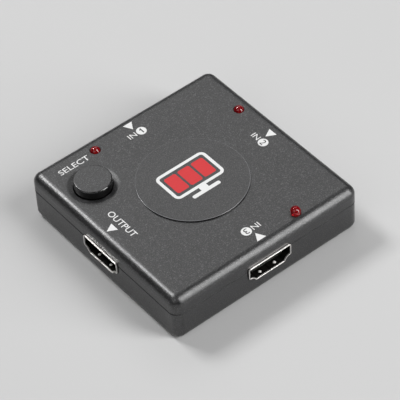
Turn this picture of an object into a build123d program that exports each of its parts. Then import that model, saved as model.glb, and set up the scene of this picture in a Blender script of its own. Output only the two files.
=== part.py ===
"""A video switch box with three inputs and one output.

Two moulded covers close on a circuit board that carries four video sockets, a push switch under a round
button, and three round LEDs. +Z is up, and the origin is on the resting face under the middle of the case.
The output socket faces -X, input 1 faces +Y, input 2 faces +X and input 3 faces -Y. Lengths are in millimetres.
"""

import os
from math import asin, degrees, hypot

from build123d import *

os.makedirs("parts", exist_ok=True)

# Case
case_side = 64.0
case_height = 15.1
top_cover_skirt = 5.4
wall = 1.6
roof = 1.8
floor = 1.8
top_edge_radius = 2.75
bottom_edge_radius = 2.0
corner_margin = 0.05
parting_bevel = 0.12
lip_height = 1.2
lip_gauge = 0.7
lip_gap = 0.1
overrun = 1.0

# Raised round pad in the middle of the top, up to a gap from the button's dish
pad_dish_gap = 4.145
pad_height = 0.45
pad_edge_radius = 0.12

# Circuit board and what holds it
standoff = 1.75
standoff_radius = 3.0
board_gauge = 1.6
board_edge_gap = 0.8
board_corner_radius = 1.5
boss_radius = 2.4
boss_inset = 5.8

# Case screws, driven upwards from underneath
screw_radius = 1.0
screw_length = 8.0
screw_tip_bevel = 0.5
screw_hole_gap = 0.15
pilot_gap = 0.02
pilot_spare_depth = 0.5
head_radius = 1.8
head_height = 1.1
head_round = 0.35
head_recess_gap = 0.3
head_recess_depth = 1.5
cross_length = 2.0
cross_width = 0.5
cross_depth = 0.6

# Sockets: a folded sheet shell round a mouth with notched lower corners
opening_width = 14.0
opening_height = 4.7
notch_run = 2.1
notch_rise = 1.5
notch_sink = 0.3
opening_corner_radius = 0.3
shell_gauge = 0.35
shell_depth = 11.2
shell_proud = 0.5
shell_cutout_gap = 0.15
rim_round = 0.1
seam_width = 0.2
tab_offset = 2.55
tab_width = 1.7
tab_length = 4.0
tab_start = 0.8
tab_slot = 0.2
dimple_radius = 0.65
dimple_height = 0.22
dimple_depth = 1.55
leg_width = 1.2
front_leg_depth = 5.0
back_leg_inset = 1.7
leg_reach = 0.9
leg_hole_gap = 0.15

# Insulator and contacts inside each socket
insulator_fit = 0.05
insulator_block_gauge = 3.6
tongue_width = 10.6
tongue_gauge = 1.4
tongue_depth = 1.6
tongue_round = 0.2
upper_contacts = 10
lower_contacts = 9
contact_pitch = 1.0
contact_width = 0.4
contact_gauge = 0.15
contact_sink = 0.1
contact_fit = 0.02
contact_tip_gap = 0.5
upper_bend_gap = 1.0
lower_bend_gap = 0.15
contact_foot = 0.8

# Push button and its hole
button_from_left = 10.6
button_from_back = 15.3
button_radius = 5.4
button_proud = 2.4
button_round = 0.4
button_wall = 1.2
button_gap = 0.25
button_stem_radius = 1.5
button_flange = 0.85
button_flange_gauge = 0.9
button_roof_gap = 0.05
dish_width = 1.55
dish_depth = 0.4
dish_edge_radius = 2.0
collar_gap = 0.25
collar_gauge = 1.0
collar_height = 1.8

# Push switch on the board
switch_side = 6.0
switch_height = 7.0
switch_base_height = 3.2
switch_cover_gauge = 0.3
switch_flap_height = 1.6
switch_flap_width = 4.0
switch_well_radius = 2.3
switch_well_floor = 1.3
plunger_radius = 1.75
plunger_gap = 0.1
plunger_flange = 0.3
plunger_flange_gauge = 0.6
plunger_nub_radius = 0.9
dome_radius = 2.0
dome_height = 0.5
dome_gauge = 0.08
terminal_spread = 4.5
terminal_width = 0.7
terminal_gauge = 0.3
terminal_rise = 1.5
terminal_reach = 0.9
terminal_hole_gap = 0.15

# LEDs, each beside an input socket
led_offset = 12.9
led_radius = 1.5
led_length = 5.3
led_flange = 0.4
led_flange_gauge = 1.0
led_hole_gap = 0.1
led_lead_gauge = 0.5
led_lead_pitch = 2.54
led_lead_reach = 0.9
led_lead_hole_radius = 0.45
led_setbacks = {"led_1": 5.0, "led_2": 4.9, "led_3": 4.1}
led_prouds = {"led_1": 1.0, "led_2": 1.1, "led_3": 2.1}

# Chips on the board
switch_chip_side = 10.0
switch_chip_height = 1.2
switch_chip_lift = 0.1
switch_chip_lead_pitch = 0.5
switch_chip_leads_a_side = 16
switch_chip_lead_width = 0.22
switch_chip_lead_out = 0.3
switch_chip_lead_foot = 0.9
small_lead_gauge = 0.15
pin_mark_radius = 0.5
pin_mark_depth = 0.1
pin_mark_inset = 1.2
control_chip_place = 13.0
control_chip_length = 4.9
control_chip_width = 3.9
control_chip_height = 1.4
control_chip_lift = 0.15
control_chip_lead_pitch = 1.27
control_chip_leads_a_side = 4
control_chip_lead_width = 0.4
control_chip_lead_out = 0.5
control_chip_lead_foot = 1.1
regulator_length = 4.5
regulator_width = 2.5
regulator_height = 1.5
regulator_lead_pitch = 1.5
regulator_leads = 3
regulator_lead_width = 0.45

# Small two-ended chip parts in rows behind the sockets and round the switch chip
resistor_length = 1.6
resistor_width = 0.8
resistor_height = 0.45
resistor_pitch = 1.5
resistors_a_row = 8
resistor_row_gap = 1.4
capacitor_length = 1.6
capacitor_width = 0.8
capacitor_height = 0.8
capacitor_pitch = 6.0
capacitors_a_row = 2
capacitor_row_gap = 1.4
end_cap_length = 0.3
end_cap_gauge = 0.03

# Places and sizes that follow from the ones above
half_side = case_side / 2
corner_radius = top_edge_radius + corner_margin
cavity_side = case_side - 2 * wall
cavity_corner_radius = max(corner_radius - wall, parting_bevel)
lip_side = cavity_side + 2 * lip_gauge
lip_corner_radius = cavity_corner_radius + lip_gauge
rebate_side = lip_side + 2 * lip_gap
rebate_corner_radius = lip_corner_radius + lip_gap
roof_underside = case_height - roof
parting_height = case_height - top_cover_skirt
board_bottom = floor + standoff
board_top = board_bottom + board_gauge
board_side = cavity_side - 2 * board_edge_gap
screw_spacing = case_side - 2 * boss_inset
screw_hole_radius = screw_radius + screw_hole_gap
pilot_top = head_recess_depth + screw_length + pilot_spare_depth
mouth_distance = half_side + shell_proud
tongue_middle = shell_gauge + opening_height / 2
upper_contact_height = tongue_middle + tongue_gauge / 2 - contact_sink
lower_contact_height = tongue_middle - tongue_gauge / 2 + contact_sink - contact_gauge
contact_start = tongue_depth + contact_tip_gap
insulator_block_depth = shell_depth - insulator_block_gauge
leg_depths = (front_leg_depth, shell_depth - back_leg_inset)
upper_bend_depth = shell_depth + upper_bend_gap
lower_bend_depth = shell_depth + lower_bend_gap
button_at = (button_from_left - half_side, half_side - button_from_back)
button_hole_radius = button_radius + button_gap
dish_radius = button_hole_radius + dish_width
pad_radius = hypot(*button_at) - dish_radius - pad_dish_gap
button_flange_radius = button_radius + button_flange
button_flange_top = roof_underside - button_roof_gap
button_flange_bottom = button_flange_top - button_flange_gauge
button_top = case_height + button_proud
collar_radius = button_flange_radius + collar_gap
plunger_top = board_top + switch_height
dome_top = board_top + switch_well_floor + dome_height
dome_sphere_radius = (dome_radius**2 + dome_height**2) / (2 * dome_height)
resistor_row_depth = upper_bend_depth + contact_foot + resistor_row_gap + resistor_length / 2
capacitor_row_place = (
    switch_chip_side / 2 + switch_chip_lead_foot + capacitor_row_gap + capacitor_length / 2
)

# The side that each socket faces, as a turn about +Z from +X
output_turn = 180
input_turns = {"1": 90, "2": 0, "3": -90}
socket_turns = {"output": output_turn} | {f"input_{n}": turn for n, turn in input_turns.items()}


def outward(turn):
    """Gives the direction out of the case on the side at a turn."""
    return Vector(1, 0, 0).rotate(Axis.Z, turn)


def along(turn):
    """Gives the direction along the side at a turn."""
    return Vector(0, 1, 0).rotate(Axis.Z, turn)


def mouth_plane(turn, depth=0):
    """Gives the upright plane of a socket's mouth, or one that far behind it, based on the board's top."""
    origin = outward(turn) * (mouth_distance - depth) + Vector(0, 0, board_top)
    return Plane(origin, x_dir=along(turn), z_dir=outward(turn))


def deck_plane(turn, height=0):
    """Gives the level plane of a socket, with y running into the case, at a height over the board's top."""
    origin = outward(turn) * mouth_distance + Vector(0, 0, board_top + height)
    return Plane(origin, x_dir=along(turn), z_dir=(0, 0, 1))


def lengthwise_plane(turn, offset):
    """Gives the upright plane along a socket's depth, with x running into the case."""
    origin = outward(turn) * mouth_distance + along(turn) * offset + Vector(0, 0, board_top)
    return Plane(origin, x_dir=-outward(turn), z_dir=along(turn))


def chip_side_plane(turn, centre, half_width, offset):
    """Gives the upright plane through one lead of a chip, with x running away from the chip."""
    origin = centre + outward(turn) * half_width + along(turn) * offset
    return Plane(origin, x_dir=outward(turn), z_dir=-along(turn))


def moved(plane, x, y):
    """Gives a plane whose origin is moved within the plane."""
    return Plane(plane.from_local_coords((x, y, 0)), x_dir=plane.x_dir, z_dir=plane.z_dir)


def row_offsets(count, pitch):
    """Gives the places of a centred row."""
    return [(i - (count - 1) / 2) * pitch for i in range(count)]


def socket_outline(grow=0, mode=Mode.ADD):
    """Draws a socket's opening, grown all round, with its base one sheet above the board."""
    half = opening_width / 2
    base = half - notch_run
    floor_line = shell_gauge
    top_line = shell_gauge + opening_height
    notch_line = shell_gauge + notch_rise
    notch_middle = (half - notch_run / 2 - notch_sink, floor_line + notch_rise / 2 + notch_sink)
    with BuildSketch(mode=Mode.PRIVATE) as outline:
        with BuildLine():
            Line((-base, floor_line), (base, floor_line))
            ThreePointArc((base, floor_line), notch_middle, (half, notch_line))
            Polyline((half, notch_line), (half, top_line), (-half, top_line), (-half, notch_line))
            ThreePointArc((-half, notch_line), (-notch_middle[0], notch_middle[1]), (-base, floor_line))
        make_face()
        fillet(outline.vertices(), opening_corner_radius)
        if grow:
            offset(amount=grow)
    add(outline.sketch, mode=mode)


def bent_strip(start, bend, end, height, gauge):
    """Draws the side view of a strip that runs level, turns down and ends in a foot on the board."""
    with BuildLine(mode=Mode.PRIVATE) as outline:
        Polyline(
            (start, height),
            (bend, height),
            (bend, 0),
            (end, 0),
            (end, gauge),
            (bend + gauge, gauge),
            (bend + gauge, height + gauge),
            (start, height + gauge),
            close=True,
        )
    make_face(outline.edges())


def finish(builder, name):
    """Labels a finished piece and writes it."""
    builder.part.label = name
    export_step(builder.part, f"parts/{name}.step")


def edges_of_circle(builder, radius):
    """Gives the round edges of a part, the ones nearest to a radius first."""
    circles = builder.edges().filter_by(GeomType.CIRCLE)
    return circles.sort_by(lambda edge: abs(edge.radius - radius))


def led_place(name):
    """Gives the middle of an LED, seen from above."""
    turn = input_turns[name[-1]]
    return outward(turn) * (half_side - led_setbacks[name]) + along(turn) * led_offset


led_places = {name: led_place(name) for name in led_setbacks}
led_bases = {name: case_height + led_prouds[name] - led_length for name in led_setbacks}
led_lead_places = {
    name: [led_places[name] + Vector(x, 0, 0) for x in row_offsets(2, led_lead_pitch)]
    for name in led_setbacks
}
terminal_places = [
    (button_at[0] + x, button_at[1] + y)
    for x in row_offsets(2, switch_side + terminal_gauge)
    for y in row_offsets(2, terminal_spread)
]


# Bottom cover
with BuildPart() as bottom_cover:
    with BuildSketch():
        RectangleRounded(case_side, case_side, corner_radius)
    extrude(amount=parting_height)
    fillet(bottom_cover.faces().sort_by(Axis.Z)[0].edges(), min(bottom_edge_radius, corner_radius))
    chamfer(bottom_cover.faces().sort_by(Axis.Z)[-1].edges(), parting_bevel)
    with BuildSketch(Plane.XY.offset(floor)):
        RectangleRounded(cavity_side, cavity_side, cavity_corner_radius)
    extrude(amount=case_height, mode=Mode.SUBTRACT)
    with BuildSketch(Plane.XY.offset(parting_height)):
        RectangleRounded(lip_side, lip_side, lip_corner_radius)
        RectangleRounded(cavity_side, cavity_side, cavity_corner_radius, mode=Mode.SUBTRACT)
    extrude(amount=lip_height)
    with BuildSketch(Plane.XY.offset(floor)):
        with GridLocations(screw_spacing, screw_spacing, 2, 2):
            Circle(standoff_radius)
    extrude(amount=standoff)
    with BuildSketch():
        with GridLocations(screw_spacing, screw_spacing, 2, 2):
            Circle(screw_hole_radius)
    extrude(amount=board_bottom, mode=Mode.SUBTRACT)
    with BuildSketch():
        with GridLocations(screw_spacing, screw_spacing, 2, 2):
            Circle(head_radius + head_recess_gap)
    extrude(amount=head_recess_depth, mode=Mode.SUBTRACT)
    for turn in socket_turns.values():
        with BuildSketch(mouth_plane(turn)):
            socket_outline(shell_gauge + shell_cutout_gap)
        extrude(amount=-(shell_proud + wall + overrun), mode=Mode.SUBTRACT)
        with BuildSketch(deck_plane(turn, parting_height - board_top)):
            Rectangle(
                opening_width + 2 * (shell_gauge + shell_cutout_gap),
                shell_proud + wall + overrun,
                align=(Align.CENTER, Align.MIN),
            )
        extrude(amount=lip_height, mode=Mode.SUBTRACT)
finish(bottom_cover, "bottom_cover")

# Top cover
with BuildPart() as top_cover:
    with BuildSketch(Plane.XY.offset(parting_height)):
        RectangleRounded(case_side, case_side, corner_radius)
    extrude(amount=case_height - parting_height)
    fillet(top_cover.faces().sort_by(Axis.Z)[-1].edges(), top_edge_radius)
    chamfer(top_cover.faces().sort_by(Axis.Z)[0].edges(), parting_bevel)
    with BuildSketch(Plane.XY.offset(parting_height)):
        RectangleRounded(cavity_side, cavity_side, cavity_corner_radius)
    extrude(amount=roof_underside - parting_height, mode=Mode.SUBTRACT)
    with BuildSketch(Plane.XY.offset(parting_height)):
        RectangleRounded(rebate_side, rebate_side, rebate_corner_radius)
    extrude(amount=lip_height + lip_gap, mode=Mode.SUBTRACT)
    with BuildSketch(Plane.XY.offset(case_height)):
        Circle(pad_radius)
    extrude(amount=pad_height)
    fillet(top_cover.faces().sort_by(Axis.Z)[-1].edges(), pad_edge_radius)
    # The bosses stand on the board, over the bottom cover's standoffs
    with BuildSketch(Plane.XY.offset(board_top)):
        with GridLocations(screw_spacing, screw_spacing, 2, 2):
            Circle(boss_radius)
    extrude(amount=roof_underside - board_top)
    with BuildSketch(Plane.XY.offset(board_top)):
        with GridLocations(screw_spacing, screw_spacing, 2, 2):
            Circle(screw_radius + pilot_gap)
    extrude(amount=pilot_top - board_top, mode=Mode.SUBTRACT)
    # A collar under the roof steers the button's flange
    with BuildSketch(Plane.XY.offset(roof_underside - collar_height)):
        with Locations(button_at):
            Circle(collar_radius + collar_gauge)
            Circle(collar_radius, mode=Mode.SUBTRACT)
    extrude(amount=collar_height)
    with BuildSketch(Plane.XY.offset(roof_underside)):
        with Locations(button_at):
            Circle(button_hole_radius)
        with Locations(*led_places.values()):
            Circle(led_radius + led_hole_gap)
    extrude(amount=roof, mode=Mode.SUBTRACT)
    with Locations((button_at[0], button_at[1], case_height)):
        Cone(
            button_hole_radius,
            dish_radius,
            dish_depth,
            align=(Align.CENTER, Align.CENTER, Align.MAX),
            mode=Mode.SUBTRACT,
        )
    fillet(edges_of_circle(top_cover, dish_radius)[0], dish_edge_radius)
    for turn in socket_turns.values():
        with BuildSketch(mouth_plane(turn)):
            socket_outline(shell_gauge + shell_cutout_gap)
        extrude(amount=-(shell_proud + wall + overrun), mode=Mode.SUBTRACT)
finish(top_cover, "top_cover")

# Case screws, as one group of separate screws
with BuildPart() as case_screws:
    with BuildSketch(Plane.XY.offset(head_recess_depth - head_height)):
        with GridLocations(screw_spacing, screw_spacing, 2, 2):
            Circle(head_radius)
    extrude(amount=head_height)
    fillet(case_screws.edges().group_by(Axis.Z)[0], head_round)
    with BuildSketch(Plane.XY.offset(head_recess_depth)):
        with GridLocations(screw_spacing, screw_spacing, 2, 2):
            Circle(screw_radius)
    extrude(amount=screw_length)
    chamfer(case_screws.edges().group_by(Axis.Z)[-1], screw_tip_bevel)
    with BuildSketch(Plane.XY.offset(head_recess_depth - head_height)):
        with GridLocations(screw_spacing, screw_spacing, 2, 2):
            Rectangle(cross_length, cross_width)
            Rectangle(cross_width, cross_length)
    extrude(amount=cross_depth, mode=Mode.SUBTRACT)
finish(case_screws, "case_screws")

# Circuit board, with the holes that the screws, socket legs, switch and LEDs pass through
with BuildPart() as circuit_board:
    with BuildSketch(Plane.XY.offset(board_bottom)):
        RectangleRounded(board_side, board_side, board_corner_radius)
        with GridLocations(screw_spacing, screw_spacing, 2, 2):
            Circle(screw_hole_radius, mode=Mode.SUBTRACT)
        with Locations(*terminal_places):
            Circle(terminal_width / 2 + terminal_hole_gap, mode=Mode.SUBTRACT)
        for places in led_lead_places.values():
            with Locations(*places):
                Circle(led_lead_hole_radius, mode=Mode.SUBTRACT)
    extrude(amount=board_gauge)
    for turn in socket_turns.values():
        with BuildSketch(deck_plane(turn)):
            for x in row_offsets(2, opening_width + shell_gauge):
                with Locations(*[(x, depth) for depth in leg_depths]):
                    Rectangle(shell_gauge + 2 * leg_hole_gap, leg_width + 2 * leg_hole_gap)
        extrude(amount=-board_gauge, mode=Mode.SUBTRACT)
finish(circuit_board, "circuit_board")


def make_port_shell(name, turn):
    """Makes a socket's sheet shell: a seam and two spring tabs below, two tabs above, and four legs."""
    tab_planes = [deck_plane(turn), deck_plane(turn, shell_gauge + opening_height)]
    with BuildPart() as shell:
        with BuildSketch(mouth_plane(turn)):
            socket_outline(shell_gauge)
            socket_outline(mode=Mode.SUBTRACT)
        extrude(amount=-shell_depth)
        rim = shell.faces().filter_by(Axis(mouth_plane(turn).origin, outward(turn)))
        fillet(rim.sort_by(Axis(Vector(0, 0, 0), outward(turn)))[-1].edges(), rim_round)
        with BuildSketch(*tab_planes):
            with Locations(*[(x, tab_start) for x in row_offsets(2, 2 * tab_offset)]):
                Rectangle(tab_width, tab_length, align=(Align.CENTER, Align.MIN))
            with Locations(*[(x, tab_start + tab_slot) for x in row_offsets(2, 2 * tab_offset)]):
                Rectangle(
                    tab_width - 2 * tab_slot,
                    tab_length,
                    align=(Align.CENTER, Align.MIN),
                    mode=Mode.SUBTRACT,
                )
        extrude(amount=shell_gauge, mode=Mode.SUBTRACT)
        with BuildSketch(deck_plane(turn)):
            Rectangle(seam_width, shell_depth, align=(Align.CENTER, Align.MIN))
        extrude(amount=shell_gauge, mode=Mode.SUBTRACT)
        lower_inside = deck_plane(turn, shell_gauge)
        upper_inside = deck_plane(turn, shell_gauge + opening_height)
        dimple_arc = degrees(asin(1 - dimple_height / dimple_radius))
        for plane, tilt in ((lower_inside, 0), (upper_inside, 180)):
            with Locations(*[moved(plane, x, dimple_depth) for x in row_offsets(2, 2 * tab_offset)]):
                Sphere(
                    dimple_radius,
                    arc_size1=dimple_arc,
                    rotation=(tilt, 0, 0),
                    align=(Align.CENTER, Align.CENTER, Align.MIN),
                )
        with BuildSketch(deck_plane(turn, shell_gauge + notch_rise + opening_corner_radius)):
            for x in row_offsets(2, opening_width + shell_gauge):
                with Locations(*[(x, depth) for depth in leg_depths]):
                    Rectangle(shell_gauge, leg_width)
        leg_top = shell_gauge + notch_rise + opening_corner_radius
        extrude(amount=-(leg_top + board_gauge + leg_reach))
    finish(shell, f"{name}_port_shell")


def make_port_insulator(name, turn):
    """Makes a socket's insulator: a block that fills the shell's back, with a grooved tongue before it."""
    with BuildPart() as insulator:
        with BuildSketch(mouth_plane(turn, insulator_block_depth)):
            socket_outline(-insulator_fit)
        extrude(amount=-(shell_depth - insulator_block_depth))
        with BuildSketch(mouth_plane(turn, tongue_depth)):
            with Locations((0, tongue_middle)):
                RectangleRounded(tongue_width, tongue_gauge, tongue_round)
        extrude(amount=-(insulator_block_depth - tongue_depth))
        with BuildSketch(mouth_plane(turn, contact_start)):
            for count, height in (
                (upper_contacts, upper_contact_height),
                (lower_contacts, lower_contact_height - contact_fit),
            ):
                with Locations(*[(x, height) for x in row_offsets(count, contact_pitch)]):
                    Rectangle(
                        contact_width + 2 * contact_fit,
                        contact_gauge + contact_fit,
                        align=(Align.CENTER, Align.MIN),
                    )
        extrude(amount=-(shell_depth - contact_start), mode=Mode.SUBTRACT)
    finish(insulator, f"{name}_port_insulator")


def make_port_contacts(name, turn):
    """Makes a socket's contacts as separate strips: one row over the tongue and one under it."""
    upper_planes = [lengthwise_plane(turn, x) for x in row_offsets(upper_contacts, contact_pitch)]
    lower_planes = [lengthwise_plane(turn, x) for x in row_offsets(lower_contacts, contact_pitch)]
    rows = (
        (upper_planes, upper_bend_depth, upper_contact_height),
        (lower_planes, lower_bend_depth, lower_contact_height),
    )
    with BuildPart() as contacts:
        for planes, bend, height in rows:
            for plane in planes:
                with BuildSketch(plane):
                    bent_strip(contact_start, bend, bend + contact_foot, height, contact_gauge)
        extrude(amount=contact_width / 2, both=True)
    finish(contacts, f"{name}_port_contacts")


for socket_name, socket_turn in socket_turns.items():
    make_port_shell(socket_name, socket_turn)
    make_port_insulator(socket_name, socket_turn)
    make_port_contacts(socket_name, socket_turn)

# Select button: a hollow cap with a stem onto the switch and a flange under the roof
with BuildPart() as select_button:
    with BuildSketch(Plane.XY.offset(button_flange_bottom)):
        with Locations(button_at):
            Circle(button_radius)
    extrude(amount=button_top - button_flange_bottom)
    fillet(select_button.edges().group_by(Axis.Z)[-1], button_round)
    with BuildSketch(Plane.XY.offset(button_flange_bottom)):
        with Locations(button_at):
            Circle(button_flange_radius)
    extrude(amount=button_flange_gauge)
    with BuildSketch(Plane.XY.offset(button_flange_bottom)):
        with Locations(button_at):
            Circle(button_radius - button_wall)
    extrude(amount=button_top - button_wall - button_flange_bottom, mode=Mode.SUBTRACT)
    with BuildSketch(Plane.XY.offset(plunger_top)):
        with Locations(button_at):
            Circle(button_stem_radius)
    extrude(amount=button_top - button_wall - plunger_top)
finish(select_button, "select_button")

# Push switch: base, metal cover, plunger, snap dome and terminals
with BuildPart() as switch_base:
    with BuildSketch(Plane.XY.offset(board_top)):
        with Locations(button_at):
            Rectangle(switch_side, switch_side)
    extrude(amount=switch_base_height)
    with BuildSketch(Plane.XY.offset(board_top + switch_well_floor)):
        with Locations(button_at):
            Circle(switch_well_radius)
    extrude(amount=switch_base_height - switch_well_floor, mode=Mode.SUBTRACT)
finish(switch_base, "switch_base")

with BuildPart() as switch_cover:
    with BuildSketch(Plane.XY.offset(board_top + switch_base_height)):
        with Locations(button_at):
            Rectangle(switch_side, switch_side + 2 * switch_cover_gauge)
            Circle(plunger_radius + plunger_gap, mode=Mode.SUBTRACT)
    extrude(amount=switch_cover_gauge)
    with BuildSketch(Plane.XY.offset(board_top + switch_base_height)):
        with Locations(button_at):
            with GridLocations(switch_side, switch_side + switch_cover_gauge, 1, 2):
                Rectangle(switch_flap_width, switch_cover_gauge)
    extrude(amount=-switch_flap_height)
finish(switch_cover, "switch_cover")

with BuildPart() as switch_plunger:
    plunger_flange_top = board_top + switch_base_height - plunger_gap
    with BuildSketch(Plane.XY.offset(plunger_flange_top)):
        with Locations(button_at):
            Circle(plunger_radius)
    extrude(amount=plunger_top - plunger_flange_top)
    with BuildSketch(Plane.XY.offset(plunger_flange_top)):
        with Locations(button_at):
            Circle(plunger_radius + plunger_flange)
    extrude(amount=-plunger_flange_gauge)
    with BuildSketch(Plane.XY.offset(dome_top)):
        with Locations(button_at):
            Circle(plunger_nub_radius)
    extrude(amount=plunger_flange_top - plunger_flange_gauge - dome_top)
finish(switch_plunger, "switch_plunger")

with BuildPart() as switch_dome:
    dome_floor = Plane((*button_at, board_top + switch_well_floor), x_dir=(1, 0, 0), z_dir=(0, -1, 0))
    sphere_drop = dome_sphere_radius - dome_height
    inner_sphere_radius = dome_sphere_radius - dome_gauge
    outer_start = degrees(asin(sphere_drop / dome_sphere_radius))
    inner_start = degrees(asin(sphere_drop / inner_sphere_radius))
    with BuildSketch(dome_floor):
        with BuildLine():
            outer_arc = CenterArc((0, -sphere_drop), dome_sphere_radius, outer_start, 90 - outer_start)
            inner_arc = CenterArc((0, -sphere_drop), inner_sphere_radius, inner_start, 90 - inner_start)
            Line(outer_arc @ 0, inner_arc @ 0)
            Line(outer_arc @ 1, inner_arc @ 1)
        make_face()
    revolve(axis=Axis(dome_floor.origin, (0, 0, 1)))
finish(switch_dome, "switch_dome")

with BuildPart() as switch_terminals:
    with BuildSketch(Plane.XY.offset(board_top + terminal_rise)):
        with Locations(*terminal_places):
            Rectangle(terminal_gauge, terminal_width)
    extrude(amount=-(terminal_rise + board_gauge + terminal_reach))
finish(switch_terminals, "switch_terminals")


def make_led(name):
    """Makes a round LED: a flanged lens with a domed top, and two leads down through the board."""
    place = led_places[name]
    base = led_bases[name]
    section = Plane(place + Vector(0, 0, base), x_dir=(1, 0, 0), z_dir=(0, -1, 0))
    with BuildPart() as lens:
        with BuildSketch(section):
            with BuildLine():
                Polyline(
                    (0, led_length),
                    (0, 0),
                    (led_radius + led_flange, 0),
                    (led_radius + led_flange, led_flange_gauge),
                    (led_radius, led_flange_gauge),
                    (led_radius, led_length - led_radius),
                )
                CenterArc((0, led_length - led_radius), led_radius, 0, 90)
            make_face()
        revolve(axis=Axis(section.origin, (0, 0, 1)))
    finish(lens, f"{name}_lens")
    with BuildPart() as leads:
        with BuildSketch(Plane.XY.offset(base)):
            with Locations(*led_lead_places[name]):
                Rectangle(led_lead_gauge, led_lead_gauge)
        extrude(amount=-(base - board_bottom + led_lead_reach))
    finish(leads, f"{name}_leads")


for led_name in led_setbacks:
    make_led(led_name)


def chip_leads(name, centre, sides, count, pitch, width, out, foot, height):
    """Makes a chip's bent leads as separate strips, on each side given as its turn and half width."""
    planes = [
        chip_side_plane(turn, centre, half_width, x)
        for turn, half_width in sides
        for x in row_offsets(count, pitch)
    ]
    with BuildPart() as leads:
        for plane in planes:
            with BuildSketch(plane):
                bent_strip(0, out, foot, height, small_lead_gauge)
        extrude(amount=width / 2, both=True)
    finish(leads, name)


def chip_body(name, centre, length, width, lift, height):
    """Makes a chip's moulded body, with a round mark sunk at its first pin."""
    with BuildPart() as body:
        with BuildSketch(Plane(centre + Vector(0, 0, lift))):
            Rectangle(length, width)
        extrude(amount=height)
        with BuildSketch(Plane(centre + Vector(0, 0, lift + height))):
            with Locations((pin_mark_inset - length / 2, width / 2 - pin_mark_inset)):
                Circle(pin_mark_radius)
        extrude(amount=-pin_mark_depth, mode=Mode.SUBTRACT)
    finish(body, name)


switch_chip_centre = Vector(0, 0, board_top)
chip_body(
    "switch_chip",
    switch_chip_centre,
    switch_chip_side,
    switch_chip_side,
    switch_chip_lift,
    switch_chip_height,
)
chip_leads(
    "switch_chip_leads",
    switch_chip_centre,
    [(turn, switch_chip_side / 2) for turn in socket_turns.values()],
    switch_chip_leads_a_side,
    switch_chip_lead_pitch,
    switch_chip_lead_width,
    switch_chip_lead_out,
    switch_chip_lead_foot,
    switch_chip_lift + switch_chip_height / 2,
)

control_chip_centre = Vector(control_chip_place, -control_chip_place, board_top)
chip_body(
    "control_chip",
    control_chip_centre,
    control_chip_length,
    control_chip_width,
    control_chip_lift,
    control_chip_height,
)
chip_leads(
    "control_chip_leads",
    control_chip_centre,
    [(90, control_chip_width / 2), (-90, control_chip_width / 2)],
    control_chip_leads_a_side,
    control_chip_lead_pitch,
    control_chip_lead_width,
    control_chip_lead_out,
    control_chip_lead_foot,
    control_chip_lift + control_chip_height / 2,
)

regulator_centre = Vector(-control_chip_place, -control_chip_place, board_top)
chip_body(
    "voltage_regulator",
    regulator_centre,
    regulator_length,
    regulator_width,
    control_chip_lift,
    regulator_height,
)
chip_leads(
    "voltage_regulator_leads",
    regulator_centre,
    [(-90, regulator_width / 2)],
    regulator_leads,
    regulator_lead_pitch,
    regulator_lead_width,
    control_chip_lead_out,
    control_chip_lead_foot,
    control_chip_lift + regulator_height / 2,
)


def make_chip_parts(name, planes, row, size):
    """Makes rows of two-ended chip parts, each a block with a thicker metal cap on both ends.

    The row is its count, pitch and distance from the plane's origin, and the size is length, width and height.
    """
    count, pitch, distance = row
    length, width, height = size
    places = [(x, distance) for x in row_offsets(count, pitch)]
    caps = [
        (x, distance + y)
        for x in row_offsets(count, pitch)
        for y in row_offsets(2, length - end_cap_length)
    ]
    with BuildPart() as parts:
        with BuildSketch(*planes):
            with Locations(*places):
                Rectangle(width, length)
        extrude(amount=height)
        with BuildSketch(*planes):
            with Locations(*caps):
                Rectangle(width + 2 * end_cap_gauge, end_cap_length)
        extrude(amount=height + end_cap_gauge)
    finish(parts, name)


make_chip_parts(
    "chip_resistors",
    [deck_plane(turn) for turn in socket_turns.values()],
    (resistors_a_row, resistor_pitch, resistor_row_depth),
    (resistor_length, resistor_width, resistor_height),
)
make_chip_parts(
    "chip_capacitors",
    [
        Plane((0, 0, board_top), x_dir=along(turn), z_dir=(0, 0, 1))
        for turn in socket_turns.values()
    ],
    (capacitors_a_row, capacitor_pitch, capacitor_row_place),
    (capacitor_length, capacitor_width, capacitor_height),
)
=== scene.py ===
"""Dressing of a three-into-one video switch box around its fixed frame.

Sizes in the classes are in millimetres, and meshes are put in metres. +Z is up. The output socket faces
-X, and inputs 1, 2 and 3 face +Y, +X and -Y.
"""

import logging
import math
from dataclasses import dataclass, field
from enum import Enum
from typing import Union

import bmesh
import bpy
import numpy as np
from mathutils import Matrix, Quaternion, Vector


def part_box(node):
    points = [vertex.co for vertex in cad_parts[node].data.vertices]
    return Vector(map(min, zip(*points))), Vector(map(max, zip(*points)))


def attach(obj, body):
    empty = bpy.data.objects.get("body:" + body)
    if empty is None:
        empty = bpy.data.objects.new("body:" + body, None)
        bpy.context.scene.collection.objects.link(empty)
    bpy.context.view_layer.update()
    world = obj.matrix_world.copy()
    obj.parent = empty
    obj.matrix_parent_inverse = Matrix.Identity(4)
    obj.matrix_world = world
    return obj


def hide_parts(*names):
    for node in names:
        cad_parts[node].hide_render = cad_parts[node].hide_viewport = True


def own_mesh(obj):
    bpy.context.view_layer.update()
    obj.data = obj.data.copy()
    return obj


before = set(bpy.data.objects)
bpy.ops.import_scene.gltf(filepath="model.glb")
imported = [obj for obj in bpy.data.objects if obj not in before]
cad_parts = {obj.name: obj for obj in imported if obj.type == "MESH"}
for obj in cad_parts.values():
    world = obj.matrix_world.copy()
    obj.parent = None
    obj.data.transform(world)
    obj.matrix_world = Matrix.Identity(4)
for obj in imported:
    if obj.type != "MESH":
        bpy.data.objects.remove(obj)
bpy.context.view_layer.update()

LOG = logging.getLogger("switch_box")
MM = 0.001
LETTER_STEPS = 5
WELD_GAP = 1e-4

Colour = tuple[float, float, float]
Feed = Union["Wire", float, tuple]
Outline = tuple[tuple[float, float], ...]


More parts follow.
